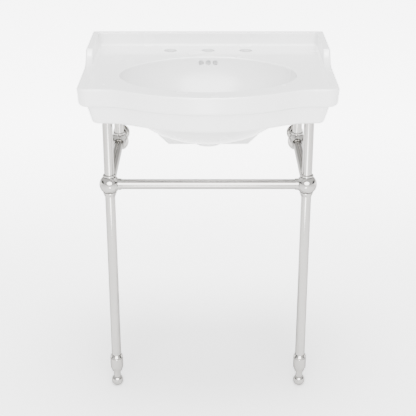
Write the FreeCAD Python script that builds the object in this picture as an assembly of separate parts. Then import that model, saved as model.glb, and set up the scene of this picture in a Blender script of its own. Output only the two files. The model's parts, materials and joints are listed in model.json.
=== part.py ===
import FreeCAD, Part
import math
import os

# Console sink with legs: a vitreous china basin that hangs on the wall at its back and stands on
# two plated brass legs at its front. A ball fitting on each leg joins it to a cross rail and to a
# side rail, and each side rail ends in a second ball fitting that is held to the wall.
# Millimetres. +X is to the right of someone facing the front, +Y points to the wall, +Z is up.
# The origin is on the floor, under the middle of the width and of the depth.

# ---- Basin: overall ----
width = 635.0
depth = 514.0
rim_height = 855.0
splash_rise = 30.0
china_wall = 12.0

# ---- Basin: front line seen from above ----
bow_projection = 67.5
shoulder_straight = 5.5
bow_round_share = 0.745
corner_radius = 24.0
apron_corner = 18.0

# ---- Basin: two stepped bands below the rim ----
band_height = 46.5
side_draft = 0.055
step_inset = 21.0
apron_height = 51.0
apron_taper = 13.0
edge_roll = 11.0
rim_round = 4.5
mouth_round = 2.5

# ---- Basin: raised rim, side walls, backsplash and recessed deck ----
side_rim_width = 20.5
front_rim_width = 26.0
side_wall_lean = 2.0
splash_thickness = 16.0
ledge_drop = 4.5
deck_drop = 8.5
ledge_depth = 105.0
ramp_length = 70.0
rim_bevel = 5.0
deck_fillet = 5.0
inner_corner = 9.0
crest_depth = 184.0
sweep_radius = 95.0

# ---- Basin: bowl, drain and overflow ----
bowl_half_width = 223.0
bowl_front_margin = 78.0
bowl_back_margin = 132.0
bowl_depth = 166.0
bowl_fullness = 2.1
bowl_lip = 3.0
drain_offset = 4.0
drain_hole_radius = 22.5
drain_seat_radius = 33.0
drain_seat_depth = 3.0
drain_boss_radius = 32.5
drain_boss_drop = 6.0
overflow_count = 3
overflow_radius = 7.0
overflow_pitch = 18.7
overflow_drop = 22.0
overflow_duct_width = 60.0
overflow_duct_gap = 8.0
overflow_wall = 7.0

# ---- Basin: faucet holes and wall fixings ----
faucet_count = 3
faucet_pitch = 101.6
faucet_radius = 17.5
faucet_from_wall = 73.0
fixing_pitch = 280.0
fixing_radius = 7.0
fixing_drop = 58.0

# ---- Basin: skirt behind the bowl ----
skirt_from_wall = 245.0
skirt_bottom_half = 104.0
skirt_height = 645.0
skirt_slope_rise = 60.0
skirt_slope_run = 62.0

# ---- Leg sockets under the basin ----
socket_clearance = 0.3
socket_boss_wall = 9.0
socket_depth = 24.0
cushion_thickness = 4.0

# ---- Frame ----
tube_radius = 12.7
tube_wall = 1.5
leg_from_side = 69.5
front_leg_from_wall = 395.0
rear_leg_from_wall = 77.0
ball_height = 592.3
ball_radius = 25.7
ball_flat = 20.0
tube_seat = 15.0
fit_gap = 0.1

# ---- Collars, beads and cups at the ball fittings ----
bead_radius = 16.4
bead_height = 7.0
bead_edge = 2.0
cup_radius = 17.0
cup_foot_radius = 13.9
cup_height = 11.0
cup_edge = 2.5
collar_radius = 14.6
collar_length = 8.0

# ---- Flanges on the wall ----
flange_radius = 23.5
flange_step_radius = 18.5
flange_depth = 14.0
flange_socket_depth = 8.0
flange_edge = 2.0
flange_bolt_radius = 4.0

# ---- Feet ----
socket_bottom = 46.0
socket_foot_radius = 12.8
socket_radius = 17.1
socket_groove_radius = 15.5
socket_chamfer = 11.5
socket_body = 28.5
socket_cap_height = 10.6
socket_spigot = 26.0
foot_ball_radius = 15.8
foot_flat = 0.4
foot_neck_radius = 9.2
foot_neck_entry = 4.0
foot_travel_in = 12.0
foot_travel_out = 10.0
stem_radius = 5.0
stem_length = 34.0
running_gap = 0.06

# ---- Worked out from the sizes above ----
half_width = width / 2
leg_half_span = half_width - leg_from_side
bow_half_width = half_width - step_inset - apron_taper - apron_corner - shoulder_straight
wall_y = depth / 2
front_y = -depth / 2
shoulder_y = front_y + bow_projection
splash_top = rim_height + splash_rise
step_height = rim_height - band_height
apron_bottom = step_height - apron_height
ledge_height = rim_height - ledge_drop
deck_height = rim_height - deck_drop
deck_underside = deck_height - china_wall
bowl_half_depth = (depth - bowl_front_margin - bowl_back_margin) / 2
bowl_y = wall_y - bowl_back_margin - bowl_half_depth
drain_y = bowl_y + drain_offset
bowl_floor = deck_height - bowl_depth
boss_bottom = bowl_floor - china_wall - drain_boss_drop
front_leg_y = wall_y - front_leg_from_wall
rear_leg_y = wall_y - rear_leg_from_wall
leg_socket_radius = tube_radius + socket_clearance
socket_top = deck_underside - 16.0
tube_inner = tube_radius - tube_wall
leg_foot_height = socket_bottom + socket_chamfer + socket_body + socket_cap_height
leg_top = socket_top - cushion_thickness - 2 * fit_gap
rail_end_y = wall_y - flange_depth + flange_socket_depth - fit_gap
sides = {"left": -1, "right": 1}

UP = FreeCAD.Vector(0, 0, 1)
RIGHT = FreeCAD.Vector(1, 0, 0)
BACK = FreeCAD.Vector(0, 1, 0)


def point(x, y, z):
    return FreeCAD.Vector(x, y, z)


def cylinder(radius, length, base, direction=UP):
    return Part.makeCylinder(radius, length, base, direction)


def tube(outer, inner, length, base, direction=UP):
    return cylinder(outer, length, base, direction).cut(cylinder(inner, length, base, direction))


def line(start, end):
    return Part.LineSegment(start, end).toShape()


def arc(center, radius, start_angle, end_angle, z):
    def at(angle):
        return center + point(radius * math.cos(angle), radius * math.sin(angle), 0)
    middle = (start_angle + end_angle) / 2
    lift = point(0, 0, z)
    return Part.Arc(at(start_angle) + lift, at(middle) + lift, at(end_angle) + lift).toShape()


def polygon_prism(points, direction):
    wire = Part.makePolygon(points + [points[0]])
    return Part.Face(wire).extrude(direction)


def revolved(profile, base, axis=UP):
    """Turns a list of (radius, height) corners about the axis through base."""
    points = [point(radius, 0, height) for radius, height in profile]
    solid = Part.Face(Part.makePolygon(points + [points[0]])).revolve(point(0, 0, 0), UP, 360)
    turn = FreeCAD.Rotation(UP, axis)
    return solid.transformed(FreeCAD.Placement(base, turn).toMatrix())


# ---- Basin ----

def plan(side_inset, front_inset, back_y, corner, z, back_corner=0):
    """The basin's outline seen from above: straight sides, round corners and an ogee front."""
    total = (bow_half_width ** 2 + bow_projection ** 2) / (2 * bow_projection)
    bow_radius = total * bow_round_share
    sweep_radius = total - bow_radius
    turn = math.asin(bow_half_width / total)
    side = half_width - side_inset
    shoulder = shoulder_y + front_inset
    back = back_y - back_corner
    bow_center = point(0, front_y + bow_radius, 0)
    right_center = point(bow_half_width, shoulder_y - sweep_radius, 0)
    left_center = point(-bow_half_width, shoulder_y - sweep_radius, 0)
    quarter = math.pi / 2
    edges = [
        line(point(side, back, z), point(side, shoulder + corner, z)),
        arc(point(side - corner, shoulder + corner, 0), corner, 0, -quarter, z),
        line(point(side - corner, shoulder, z), point(bow_half_width, shoulder, z)),
        arc(right_center, sweep_radius + front_inset, quarter, quarter + turn, z),
        arc(bow_center, bow_radius - front_inset, -quarter + turn, -quarter - turn, z),
        arc(left_center, sweep_radius + front_inset, quarter - turn, quarter, z),
        line(point(-bow_half_width, shoulder, z), point(-side + corner, shoulder, z)),
        arc(point(-side + corner, shoulder + corner, 0), corner, -quarter, -2 * quarter, z),
        line(point(-side, shoulder + corner, z), point(-side, back, z)),
    ]
    inner = side - back_corner
    if back_corner:
        edges.append(arc(point(-inner, back, 0), back_corner, 2 * quarter, quarter, z))
    edges.append(line(point(-inner, back_y, z), point(inner, back_y, z)))
    if back_corner:
        edges.append(arc(point(inner, back, 0), back_corner, quarter, 0, z))
    return Part.Wire(edges)


def level_edges(solid, z, back_y):
    """The edges that lie at one height, apart from those on the back line."""
    found = []
    for edge in solid.Edges:
        box = edge.BoundBox
        if abs(box.ZMin - z) < 0.01 and abs(box.ZMax - z) < 0.01 and box.YMin < back_y - 0.01:
            found.append(edge)
    return found


def drawn_in(top, bottom, top_inset, bottom_inset, corner):
    """A solid between two heights whose outline is drawn in evenly on its way down."""
    rim_inset = side_draft * splash_rise
    solid = Part.makeLoft([
        plan(top_inset, top_inset - rim_inset, wall_y + 1, corner, top),
        plan(bottom_inset, bottom_inset - rim_inset, wall_y + 1, corner, bottom),
    ], True, True)
    in_the_wall = Part.makeBox(2 * width, depth, 2 * rim_height, point(-width, wall_y, 0))
    return solid.cut(in_the_wall)


def above_rim():
    """What is cleared above the rim in front of the side walls, which sweep down to it."""
    crest_y = wall_y - crest_depth
    start_y = sweep_start_y()
    turn = math.asin((crest_y - start_y) / sweep_radius)
    middle_y = start_y + sweep_radius * math.sin(turn / 2)
    middle_z = rim_height + sweep_radius * (1 - math.cos(turn / 2))
    low = point(0, start_y, rim_height)
    high = point(0, crest_y, splash_top)
    front_low = point(0, 2 * front_y, rim_height)
    front_high = point(0, 2 * front_y, splash_top)
    edges = [
        line(front_low, low),
        Part.Arc(low, point(0, middle_y, middle_z), high).toShape(),
        line(high, front_high),
        line(front_high, front_low),
    ]
    profile = Part.Face(Part.Wire(edges))
    profile.translate(point(-width, 0, 0))
    return profile.extrude(RIGHT * 2 * width)


def deck_space():
    """The space above the deck: a raised ledge at the back, a soft ramp and the lower deck."""
    ledge_y = wall_y - ledge_depth
    deck_y = ledge_y - ramp_length
    fall = ledge_height - deck_height
    middle = point(0, (ledge_y + deck_y) / 2, (ledge_height + deck_height) / 2)
    upper = point(0, ledge_y - ramp_length / 4, ledge_height - fall / 8)
    lower = point(0, deck_y + ramp_length / 4, deck_height + fall / 8)
    top = splash_top + 10
    edges = [
        line(point(0, wall_y, top), point(0, wall_y, ledge_height)),
        line(point(0, wall_y, ledge_height), point(0, ledge_y, ledge_height)),
        Part.Arc(point(0, ledge_y, ledge_height), upper, middle).toShape(),
        Part.Arc(middle, lower, point(0, deck_y, deck_height)).toShape(),
        line(point(0, deck_y, deck_height), point(0, front_y, deck_height)),
        line(point(0, front_y, deck_height), point(0, front_y, top)),
        line(point(0, front_y, top), point(0, wall_y, top)),
    ]
    face = Part.Face(Part.Wire(edges))
    face.translate(point(-half_width, 0, 0))
    return face.extrude(RIGHT * width)


def crosses_floor(edge):
    """True for the lines across the deck where the ramp begins, turns over and ends."""
    middle = middle_of(edge)
    inside = shoulder_y + front_rim_width + rim_bevel < middle.y < wall_y - 2 * splash_thickness
    return abs(middle.x) < 1 and inside


def recess():
    """What is taken out between the side walls, the backsplash and the front rim."""
    top = splash_top + 5
    splash_y = wall_y - splash_thickness
    lean = side_wall_lean * (top - rim_height) / splash_rise
    corner = inner_corner
    at_rim = plan(side_rim_width, front_rim_width, splash_y, corner, rim_height, corner)
    upper = Part.makeLoft([
        plan(side_rim_width - lean, front_rim_width - lean, splash_y + lean, corner, top, corner),
        at_rim,
    ], True, True)
    depth_below = deck_drop + 4
    run = depth_below * rim_bevel / deck_drop
    lower = Part.makeLoft([
        at_rim,
        plan(side_rim_width + run, front_rim_width + run, splash_y - run, corner,
             rim_height - depth_below, corner),
    ], True, True)
    space = upper.fuse(lower).common(deck_space())
    floor = [edge for edge in space.Edges if edge.BoundBox.ZMax < ledge_height + 0.5]
    foot = [edge for edge in floor if not crosses_floor(edge)]
    return space.makeFillet(deck_fillet, foot)


def oval_wire(center, across, along):
    """An oval in four arcs that meet on its diagonals."""
    oval = Part.Ellipse(center, across, along)
    quarter = math.pi / 2
    arcs = []
    for index in range(4):
        start = (index + 0.5) * quarter
        arcs.append(Part.ArcOfEllipse(oval, start, start + quarter).toShape())
    return Part.Wire(arcs)


def bowl_solid(grow):
    """The bowl's space, or with grow its outside: ovals that close towards the drain."""
    half_x = bowl_half_width + grow
    half_y = bowl_half_depth + grow
    drop = bowl_depth + grow
    steps = 7
    least = drain_seat_radius / half_x
    sections = []
    for step in range(steps):
        angle = math.radians(84.0) * step / (steps - 1)
        share = max(math.cos(angle) ** (2 / bowl_fullness), least)
        fall = drop * math.sin(angle) ** (2 / bowl_fullness)
        blend = (1 - share) / (1 - least)
        center_y = bowl_y + (drain_y - bowl_y) * blend
        center = point(0, center_y, deck_height - fall)
        sections.append(oval_wire(center, half_x * share, half_y * share))
    return Part.makeLoft(sections, True, False)


def bowl_space():
    """The bowl's inside, carried on up through the deck and the ledge."""
    rim = oval_wire(point(0, bowl_y, deck_height), bowl_half_width, bowl_half_depth)
    mouth = Part.Face(rim).extrude(UP * deck_drop)
    return bowl_solid(0).fuse(mouth)


def under_space():
    """The open space under the deck, one wall thickness inside the two bands."""
    top_inset = step_inset + china_wall
    bottom_inset = top_inset + apron_taper
    back_y = wall_y - china_wall
    lower = Part.makeLoft([
        plan(top_inset, top_inset, back_y, inner_corner, step_height),
        plan(bottom_inset, bottom_inset, back_y, inner_corner, apron_bottom),
    ], True, True)
    face = Part.Face(plan(top_inset, top_inset, back_y, inner_corner, step_height))
    return lower.fuse(face.extrude(UP * (deck_underside - step_height)))


def skirt_section(inset, drop, y):
    """The skirt's outline seen from the front, a trapezoid under a straight upper part."""
    slant = math.hypot(skirt_slope_rise, skirt_slope_run) / skirt_slope_rise
    low_half = skirt_bottom_half - inset * slant + drop * -skirt_slope_run / skirt_slope_rise
    high_half = skirt_bottom_half + skirt_slope_run - inset
    bottom = skirt_height - drop
    knee = bottom + (high_half - low_half) * skirt_slope_rise / skirt_slope_run
    return [
        point(-low_half, y, bottom),
        point(low_half, y, bottom),
        point(high_half, y, knee),
        point(high_half, y, deck_underside),
        point(-high_half, y, deck_underside),
        point(-high_half, y, knee),
    ]


def skirt():
    """The wall that closes the back of the bowl: a front panel with two cheeks to the wall."""
    front = wall_y - skirt_from_wall
    outside = polygon_prism(skirt_section(0, 0, front), BACK * skirt_from_wall)
    inner_length = skirt_from_wall - china_wall
    inside = polygon_prism(skirt_section(china_wall, 5, front + china_wall), BACK * inner_length)
    return outside.cut(inside)


def bowl_slice(outer_grow, half_width_x, front_limit, top):
    """The part of a grown bowl that lies behind the drain, within a strip of the width."""
    reach = wall_y - front_limit
    strip = Part.makeBox(2 * half_width_x, reach, top - boss_bottom,
                         point(-half_width_x, front_limit, boss_bottom))
    return bowl_solid(outer_grow).common(strip)


def overflow_duct():
    """The passage from the overflow holes down behind the bowl into the drain hole."""
    half = overflow_duct_width / 2
    start = drain_y + drain_hole_radius / 2
    space = bowl_slice(overflow_wall + overflow_duct_gap, half, start, deck_underside)
    return space.cut(bowl_solid(overflow_wall))


def duct_housing():
    half = overflow_duct_width / 2 + overflow_wall
    grow = 2 * overflow_wall + overflow_duct_gap
    return bowl_slice(grow, half, drain_y + drain_hole_radius / 2, deck_underside + 1)


def leg_places():
    places = []
    for x_side in sides.values():
        for y in (front_leg_y, rear_leg_y):
            places.append((x_side * leg_half_span, y))
    return places


def spread(count, pitch):
    """Evenly spaced places about the middle."""
    return [(index - (count - 1) / 2) * pitch for index in range(count)]


def middle_of(edge):
    first, last = edge.ParameterRange
    return edge.valueAt((first + last) / 2)


def sweep_start_y():
    """Where the side walls begin to rise from the rim."""
    run = math.sqrt(sweep_radius ** 2 - (sweep_radius - splash_rise) ** 2)
    return wall_y - crest_depth - run


def outer_top_edges(solid):
    """The outer edges of the rim and side walls, with the crest across the walls' front ends."""
    found = []
    for edge in solid.Edges:
        middle = middle_of(edge)
        at_wall = middle.y > wall_y - 0.01
        below = middle.z < rim_height - 0.01
        low_seam = abs(middle.x) < 0.01 and abs(middle.y - sweep_start_y()) < 0.5
        if not (at_wall or below or low_seam):
            found.append(edge)
    return found


def mouth_edges(body, space):
    """The edges where the recess meets the rim, the walls and the backsplash."""
    found = []
    for edge in body.Edges:
        middle = middle_of(edge)
        box = edge.BoundBox
        upright = box.ZLength > splash_rise / 2 and box.YLength < splash_thickness / 2
        above = box.ZMin > rim_height - 0.5 and middle.y < wall_y - 1
        if above and not upright:
            if space.distToShape(Part.Vertex(middle))[0] < 0.01:
                found.append(edge)
    return found


def lip_edges(body):
    """The edges where the bowl meets the deck, the ramp and the ledge."""
    ramp_foot = wall_y - ledge_depth - ramp_length
    found = []
    for edge in body.Edges:
        middle = middle_of(edge)
        across = middle.x / bowl_half_width
        along = (middle.y - bowl_y) / bowl_half_depth
        on_oval = abs(across ** 2 + along ** 2 - 1) < 0.01
        box = edge.BoundBox
        seam = box.ZMax < deck_height + 0.01 and middle.y > ramp_foot + 0.5
        if on_oval and box.ZMin > deck_height - 0.01 and not seam:
            found.append(edge)
    return found


def basin_outside():
    """The two stepped bands, with the side walls and the backsplash above them."""
    drawn = side_draft * (splash_top - step_height)
    upper = drawn_in(splash_top, step_height, 0, drawn, corner_radius).cut(above_rim())
    upper = upper.makeFillet(edge_roll, level_edges(upper, step_height, wall_y))
    upper = upper.makeFillet(rim_round, outer_top_edges(upper))
    lower_top = step_height + 2
    lower = drawn_in(lower_top, apron_bottom, step_inset, step_inset + apron_taper, apron_corner)
    lower = lower.makeFillet(edge_roll, level_edges(lower, apron_bottom, wall_y))
    return upper.fuse(lower)


def basin_underside(body):
    body = body.cut(under_space())
    body = body.fuse(bowl_solid(china_wall))
    body = body.fuse(skirt())
    body = body.fuse(duct_housing())
    boss_height = bowl_floor - boss_bottom
    body = body.fuse(cylinder(drain_boss_radius, boss_height, point(0, drain_y, boss_bottom)))
    boss_radius = leg_socket_radius + socket_boss_wall
    boss_base = socket_top - socket_depth
    for x, y in leg_places():
        height = deck_underside + 1 - boss_base
        body = body.fuse(cylinder(boss_radius, height, point(x, y, boss_base)))
    return body


def basin_holes(body):
    seat_z = bowl_floor - drain_seat_depth
    body = body.cut(cylinder(drain_seat_radius, 2 * china_wall, point(0, drain_y, seat_z)))
    body = body.cut(cylinder(drain_hole_radius, 4 * china_wall, point(0, drain_y, boss_bottom - 1)))
    body = body.cut(overflow_duct())
    overflow_z = rim_height - overflow_drop
    for x in spread(overflow_count, overflow_pitch):
        start = point(x, bowl_y + bowl_half_depth / 2, overflow_z)
        length = bowl_half_depth / 2 + overflow_wall + overflow_duct_gap / 2
        body = body.cut(cylinder(overflow_radius, length, start, BACK))
    for x in spread(faucet_count, faucet_pitch):
        start = point(x, wall_y - faucet_from_wall, deck_underside - 1)
        body = body.cut(cylinder(faucet_radius, 2 * china_wall + ledge_drop, start))
    for x in spread(2, fixing_pitch):
        start = point(x, wall_y - china_wall - 1, rim_height - fixing_drop)
        body = body.cut(cylinder(fixing_radius, china_wall + 2, start, BACK))
    for x, y in leg_places():
        start = point(x, y, apron_bottom - 5)
        body = body.cut(cylinder(leg_socket_radius, socket_top - apron_bottom + 5, start))
    return body


def basin():
    body = basin_outside()
    space = recess()
    body = body.cut(space)
    body = body.makeFillet(mouth_round, mouth_edges(body, space))
    body = basin_underside(body)
    body = body.cut(bowl_space())
    body = body.makeFillet(bowl_lip, lip_edges(body))
    return basin_holes(body)


# ---- Tubes and their cushions ----

def tube_stock(start, end):
    """A straight length of frame tube between two points."""
    run = end - start
    return tube(tube_radius, tube_inner, run.Length, start, run)


def cushion(x, y):
    """The rubber pad in a china socket, on the end of the tube that carries the basin."""
    base = point(x, y, socket_top - fit_gap - cushion_thickness)
    return cylinder(tube_radius, cushion_thickness, base)


# ---- Ball fittings ----

def ball_face():
    """How far from a ball's centre its surface meets the outside of a collar."""
    return math.sqrt(ball_radius ** 2 - collar_radius ** 2)


def ball(x, y, through, seats, collars):
    """A ball with flats above and below, bored through for one tube and part of the way for
    each tube that ends in it, with a plain collar where a level tube comes out to the front."""
    center = point(x, y, ball_height)
    latitude = math.degrees(math.asin(ball_flat / ball_radius))
    solid = Part.makeSphere(ball_radius, center, UP, -latitude, latitude, 360)
    for direction in collars:
        reach = ball_face() + collar_length
        solid = solid.fuse(cylinder(collar_radius, reach, center, direction))
    bore = tube_radius + fit_gap
    for direction in seats:
        seat = center + direction * tube_seat
        solid = solid.cut(cylinder(bore, 2 * ball_radius, seat, direction))
    start = center - through * 2 * ball_radius
    return solid.cut(cylinder(bore, 4 * ball_radius, start, through))


def bead(x, y):
    """The bead that sits on a ball, around the tube above it."""
    bore = tube_radius + fit_gap
    return revolved([
        (bore, 0),
        (bead_radius - bead_edge, 0),
        (bead_radius, bead_edge),
        (bead_radius, bead_height - bead_edge),
        (bead_radius - bead_edge, bead_height),
        (bore, bead_height),
    ], point(x, y, ball_height + ball_flat + fit_gap))


def cup(x, y):
    """The collar under a front ball, which narrows down to the leg tube."""
    bore = tube_radius + fit_gap
    return revolved([
        (bore, 0),
        (cup_foot_radius, 0),
        (cup_radius, cup_height - cup_edge),
        (cup_radius, cup_height),
        (bore, cup_height),
    ], point(x, y, ball_height - ball_flat - fit_gap - cup_height))


# ---- Wall flanges ----

def wall_flange(x):
    """The stepped flange on the wall: the side rail ends in its socket and a hanger bolt in
    its bore."""
    seat = flange_depth - flange_socket_depth
    socket = tube_radius + fit_gap
    return revolved([
        (flange_bolt_radius, 0),
        (flange_radius, 0),
        (flange_radius, seat),
        (flange_step_radius, seat),
        (flange_step_radius, flange_depth - flange_edge),
        (flange_step_radius - flange_edge, flange_depth),
        (socket, flange_depth),
        (socket, seat),
        (flange_bolt_radius, seat),
    ], point(x, wall_y, ball_height), -BACK)


# ---- Feet ----

def foot_socket(x):
    """The turned end of a front leg: a cap ring, a plain body and a bored, tapered foot."""
    body_z = socket_bottom + socket_chamfer
    cap_z = body_z + socket_body
    top_z = cap_z + socket_cap_height
    spigot_top = top_z + socket_spigot
    neck_bore = foot_neck_radius + fit_gap
    stem_bore = stem_radius + running_gap
    bore_end = socket_bottom + foot_neck_entry + foot_travel_in + 1.0
    return revolved([
        (neck_bore, socket_bottom),
        (socket_foot_radius, socket_bottom),
        (socket_radius, body_z),
        (socket_radius, cap_z),
        (socket_groove_radius, cap_z + 1.0),
        (socket_groove_radius, cap_z + 3.0),
        (socket_radius, cap_z + 4.2),
        (tube_radius + 1.2, top_z),
        (tube_inner - fit_gap, top_z),
        (tube_inner - fit_gap, spigot_top),
        (stem_bore, spigot_top),
        (stem_bore, bore_end),
        (neck_bore, bore_end),
    ], point(x, front_leg_y, 0))


def foot(x):
    """The levelling foot: a ball on a smooth neck, with the screw stem above it."""
    base = point(x, front_leg_y, 0)
    solid = Part.makeSphere(foot_ball_radius, base + UP * (foot_ball_radius - foot_flat))
    solid = solid.cut(cylinder(foot_ball_radius, foot_ball_radius, base - UP * foot_ball_radius))
    neck_top = socket_bottom + foot_neck_entry
    neck_base = base + UP * foot_ball_radius
    solid = solid.fuse(cylinder(foot_neck_radius, neck_top - foot_ball_radius, neck_base))
    stem_base = base + UP * neck_top
    return solid.fuse(cylinder(stem_radius, stem_length, stem_base))


# ---- The parts ----

def frame_side(name, x):
    """Every piece of the frame on one side, from the foot up and back to the wall."""
    inward = RIGHT * (-1 if x > 0 else 1)
    front_center = point(x, front_leg_y, ball_height)
    rear_center = point(x, rear_leg_y, ball_height)
    seat = tube_seat + fit_gap
    foot_top = point(x, front_leg_y, leg_foot_height + fit_gap)
    front_top = point(x, front_leg_y, leg_top)
    rear_top = point(x, rear_leg_y, leg_top)
    rail_end = point(x, rail_end_y, ball_height)
    return {
        "foot_" + name: foot(x),
        "foot_socket_" + name: foot_socket(x),
        "front_leg_" + name: tube_stock(foot_top, front_top),
        "cup_collar_" + name: cup(x, front_leg_y),
        "front_ball_" + name: ball(x, front_leg_y, UP, [inward, BACK], [inward, BACK]),
        "front_bead_" + name: bead(x, front_leg_y),
        "front_cushion_" + name: cushion(x, front_leg_y),
        "side_rail_" + name: tube_stock(front_center + BACK * seat, rail_end),
        "rear_ball_" + name: ball(x, rear_leg_y, BACK, [UP], [-BACK]),
        "rear_bead_" + name: bead(x, rear_leg_y),
        "rear_upright_" + name: tube_stock(rear_center + UP * seat, rear_top),
        "rear_cushion_" + name: cushion(x, rear_leg_y),
        "wall_flange_" + name: wall_flange(x),
    }


def cross_rail():
    """The level tube between the two front balls, which also serves as a towel bar."""
    reach = leg_half_span - tube_seat - fit_gap
    return tube_stock(point(-reach, front_leg_y, ball_height),
                      point(reach, front_leg_y, ball_height))


def all_parts():
    parts = {"basin": basin(), "cross_rail": cross_rail()}
    for name, side in sides.items():
        parts.update(frame_side(name, side * leg_half_span))
    return parts


os.makedirs("parts", exist_ok=True)
for node, shape in all_parts().items():
    shape.exportStep("parts/" + node + ".step")
    print(node, "volume", round(shape.Volume), "solids", len(shape.Solids), shape.isValid())
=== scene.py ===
import json
import math

import bpy
import mathutils
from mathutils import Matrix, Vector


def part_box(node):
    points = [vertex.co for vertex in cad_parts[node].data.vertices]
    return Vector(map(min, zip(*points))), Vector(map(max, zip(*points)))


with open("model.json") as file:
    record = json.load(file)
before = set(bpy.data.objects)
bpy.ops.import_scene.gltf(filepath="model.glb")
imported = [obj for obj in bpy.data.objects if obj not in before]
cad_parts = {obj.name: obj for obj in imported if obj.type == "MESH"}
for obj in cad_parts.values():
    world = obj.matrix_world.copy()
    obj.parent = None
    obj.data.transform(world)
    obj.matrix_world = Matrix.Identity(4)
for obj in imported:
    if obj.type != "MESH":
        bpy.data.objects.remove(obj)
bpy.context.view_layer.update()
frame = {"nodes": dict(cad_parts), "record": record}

# ---- The photograph's camera, in metres, degrees, millimetres and pixels ----
CAMERA_IN_FRONT = 2.4513
CAMERA_HEIGHT = 1.5948
CAMERA_PITCH = 23.545
LENS_MM = 90.96
SENSOR_MM = 36.0
FRAME_PIXELS = 416
CENTRE_SHIFT_PIXELS = 0.15
VIEW_LIMIT = 200.0

# ---- Colours, linear ----
GLAZE_GREY = 0.70
NICKEL = (0.37, 0.36, 0.345)
NICKEL_EDGE = 0.3
RUBBER_GREY = 0.02
FLOOR_GREY = 0.92

# ---- The glaze: its body's index, and the clear coat over it ----
GLAZE_IOR = 1.5
COAT_WEIGHT = 0.8
COAT_IOR = 1.6
COAT_ROUGHNESS = 0.2

# ---- The floor: half its side, its gloss, and its own light, which grows along y ----
FLOOR_REACH = 30.0
FLOOR_ROUGHNESS = 0.9
NEAR_GLOW = 0.5
FAR_GLOW = 5.2
GLOW_START = -0.2
GLOW_END = 2.2

# ---- The surround: strengths, and the heights of directions where they change ----
WORLD_STRENGTH = 1.8
HORIZON_STRENGTH = 5.0
HORIZON_TOP = 0.14

# ---- The dark flag on each side: its reach outward and up, and the light it leaves ----
FLAG_START = 0.84
FLAG_END = 0.95
FLAG_FOOT = 0.12
FLAG_FULL = 0.2
FLAG_SHARE = 0.03

# ---- Lamps: name, place, what it faces, width and height in metres, power in watts ----
LIT_POINT = (0.0, 0.0, 0.6)
SOFTBOXES = [
    ("key", (0.0, -4.2, 2.8), LIT_POINT, 4.8, 3.2, 520.0),
    ("top", (0.0, 0.0, 4.2), LIT_POINT, 1.7, 1.7, 290.0),
    ("floor_panel", (-0.05, -1.75, 0.02), (-0.05, -1.75, 1.0), 0.6, 1.2, 20.0),
]


def grey(value):
    """A linear colour of one value in all three channels."""
    return (value, value, value, 1.0)


def new_material(name):
    """A material with its nodes, its links and its shader."""
    material = bpy.data.materials.new(name)
    material.use_nodes = True
    nodes = material.node_tree.nodes
    return material, nodes, material.node_tree.links, nodes["Principled BSDF"]


def add_bump(nodes, links, shader, scale, strength, distance):
    """Fine unevenness in the object's own space; the noise node is handed back."""
    place = nodes.new("ShaderNodeTexCoord")
    noise = nodes.new("ShaderNodeTexNoise")
    noise.inputs["Scale"].default_value = scale
    bump = nodes.new("ShaderNodeBump")
    bump.inputs["Strength"].default_value = strength
    bump.inputs["Distance"].default_value = distance
    links.new(place.outputs["Object"], noise.inputs["Vector"])
    links.new(noise.outputs["Fac"], bump.inputs["Height"])
    links.new(bump.outputs["Normal"], shader.inputs["Normal"])
    return noise


def add_roughness(nodes, links, shader, noise, low, high):
    """Gloss that varies a little with the noise."""
    spread = nodes.new("ShaderNodeMapRange")
    spread.inputs["To Min"].default_value = low
    spread.inputs["To Max"].default_value = high
    links.new(noise.outputs["Fac"], spread.inputs["Value"])
    links.new(spread.outputs["Result"], shader.inputs["Roughness"])


def smooth_step(nodes, links, source, start, end, first, last):
    """A value that goes from first to last as the source goes from start to end."""
    step = nodes.new("ShaderNodeMapRange")
    step.interpolation_type = "SMOOTHSTEP"
    step.inputs["From Min"].default_value = start
    step.inputs["From Max"].default_value = end
    step.inputs["To Min"].default_value = first
    step.inputs["To Max"].default_value = last
    links.new(source, step.inputs["Value"])
    return step.outputs["Result"]


def calculated(nodes, links, operation, *sources):
    """The result of a math node on one or two sources."""
    math_node = nodes.new("ShaderNodeMath")
    math_node.operation = operation
    for socket, source in zip(math_node.inputs, sources):
        links.new(source, socket)
    return math_node.outputs["Value"]


def china_material():
    """White glazed china: a bright body under a smooth, slightly wavy glaze."""
    material, nodes, links, shader = new_material("glazed_china")
    shader.inputs["Base Color"].default_value = grey(GLAZE_GREY)
    shader.inputs["IOR"].default_value = GLAZE_IOR
    shader.inputs["Coat Weight"].default_value = COAT_WEIGHT
    shader.inputs["Coat IOR"].default_value = COAT_IOR
    shader.inputs["Coat Roughness"].default_value = COAT_ROUGHNESS
    noise = add_bump(nodes, links, shader, scale=14.0, strength=0.05, distance=0.001)
    add_roughness(nodes, links, shader, noise, low=0.22, high=0.30)
    return material


def plated_material():
    """Polished nickel plate, a little warm, with a faint unevenness of the polish."""
    material, nodes, links, shader = new_material("polished_nickel")
    shader.inputs["Base Color"].default_value = (*NICKEL, 1.0)
    shader.inputs["Specular Tint"].default_value = grey(NICKEL_EDGE)
    shader.inputs["Metallic"].default_value = 1.0
    noise = add_bump(nodes, links, shader, scale=60.0, strength=0.02, distance=0.0005)
    add_roughness(nodes, links, shader, noise, low=0.07, high=0.13)
    return material


def rubber_material():
    """Matt black rubber."""
    material, nodes, links, shader = new_material("black_rubber")
    shader.inputs["Base Color"].default_value = grey(RUBBER_GREY)
    noise = add_bump(nodes, links, shader, scale=500.0, strength=0.2, distance=0.0003)
    add_roughness(nodes, links, shader, noise, low=0.6, high=0.8)
    return material


def dress_nodes():
    """Give every CAD node the material of its slot in the record."""
    finishes = {
        "china": china_material(),
        "plated": plated_material(),
        "rubber": rubber_material(),
    }
    slots = {entry["node"]: entry["material_slot"] for entry in frame["record"]["subparts"]}
    for name, node in frame["nodes"].items():
        for place in node.material_slots:
            place.material = finishes[slots[name]]


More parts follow.
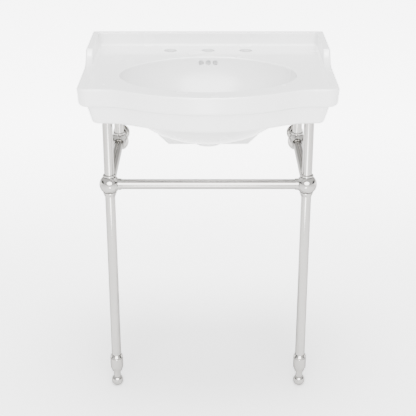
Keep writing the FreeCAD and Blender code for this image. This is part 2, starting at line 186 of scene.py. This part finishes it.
def floor_material():
    """Pale matt paint on a light table whose own light grows behind the object."""
    material, nodes, links, shader = new_material("floor_paint")
    shader.inputs["Base Color"].default_value = grey(FLOOR_GREY)
    shader.inputs["Roughness"].default_value = FLOOR_ROUGHNESS
    shader.inputs["Emission Color"].default_value = grey(1.0)
    place = nodes.new("ShaderNodeTexCoord")
    split = nodes.new("ShaderNodeSeparateXYZ")
    links.new(place.outputs["Object"], split.inputs["Vector"])
    glow = smooth_step(nodes, links, split.outputs["Y"], GLOW_START, GLOW_END,
                       NEAR_GLOW, FAR_GLOW)
    links.new(glow, shader.inputs["Emission Strength"])
    return material


def add_floor():
    """A plain square floor, which is staging and no part of the object."""
    signs = [(-1, -1), (1, -1), (1, 1), (-1, 1)]
    corners = [(FLOOR_REACH * x, FLOOR_REACH * y, 0.0) for x, y in signs]
    mesh = bpy.data.meshes.new("floor")
    mesh.from_pydata(corners, [], [(0, 1, 2, 3)])
    floor = bpy.data.objects.new("floor", mesh)
    floor.data.materials.append(floor_material())
    bpy.context.collection.objects.link(floor)


def add_world():
    """A pale surround, brighter at the horizon, with a dark flag above it on each side."""
    world = bpy.data.worlds.new("studio")
    world.use_nodes = True
    nodes = world.node_tree.nodes
    links = world.node_tree.links
    place = nodes.new("ShaderNodeTexCoord")
    split = nodes.new("ShaderNodeSeparateXYZ")
    links.new(place.outputs["Generated"], split.inputs["Vector"])
    height = split.outputs["Z"]
    aside = calculated(nodes, links, "ABSOLUTE", split.outputs["X"])
    pale = smooth_step(nodes, links, height, 0.0, HORIZON_TOP,
                       HORIZON_STRENGTH, WORLD_STRENGTH)
    outward = smooth_step(nodes, links, aside, FLAG_START, FLAG_END,
                          0.0, 1.0 - FLAG_SHARE)
    above = smooth_step(nodes, links, height, FLAG_FOOT, FLAG_FULL, 0.0, 1.0)
    flag = calculated(nodes, links, "MULTIPLY", outward, above)
    shaded = calculated(nodes, links, "MULTIPLY", pale, flag)
    strength = calculated(nodes, links, "SUBTRACT", pale, shaded)
    links.new(strength, nodes["Background"].inputs["Strength"])
    nodes["Background"].inputs["Color"].default_value = grey(1.0)
    bpy.context.scene.world = world


def add_softbox(name, place, target, width, height, power):
    """A soft oval lamp that faces a point and isn't seen itself."""
    data = bpy.data.lights.new(name, "AREA")
    data.shape = "ELLIPSE"
    data.size = width
    data.size_y = height
    data.energy = power
    lamp = bpy.data.objects.new(name, data)
    lamp.location = place
    facing = mathutils.Vector(target) - mathutils.Vector(place)
    lamp.rotation_euler = facing.to_track_quat("-Z", "Y").to_euler()
    lamp.visible_camera = False
    bpy.context.collection.objects.link(lamp)


def studio():
    """The floor, the surround and the lamps."""
    add_floor()
    add_world()
    for softbox in SOFTBOXES:
        add_softbox(*softbox)


def photo_camera():
    """The camera that the photograph's vanishing points and known sizes give.

    It stands a measured distance in front of the legs' axes, which the feet share.
    """
    data = bpy.data.cameras.new("photo_camera")
    data.lens = LENS_MM
    data.sensor_width = SENSOR_MM
    data.sensor_fit = "HORIZONTAL"
    data.shift_x = -CENTRE_SHIFT_PIXELS / FRAME_PIXELS
    data.clip_end = VIEW_LIMIT
    camera = bpy.data.objects.new("photo_camera", data)
    low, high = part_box("foot_left")
    leg_y = (low[1] + high[1]) / 2
    camera.location = (0.0, leg_y - CAMERA_IN_FRONT, CAMERA_HEIGHT)
    camera.rotation_euler = (math.radians(90.0 - CAMERA_PITCH), 0.0, 0.0)
    bpy.context.collection.objects.link(camera)
    bpy.context.scene.camera = camera


dress_nodes()
studio()
photo_camera()
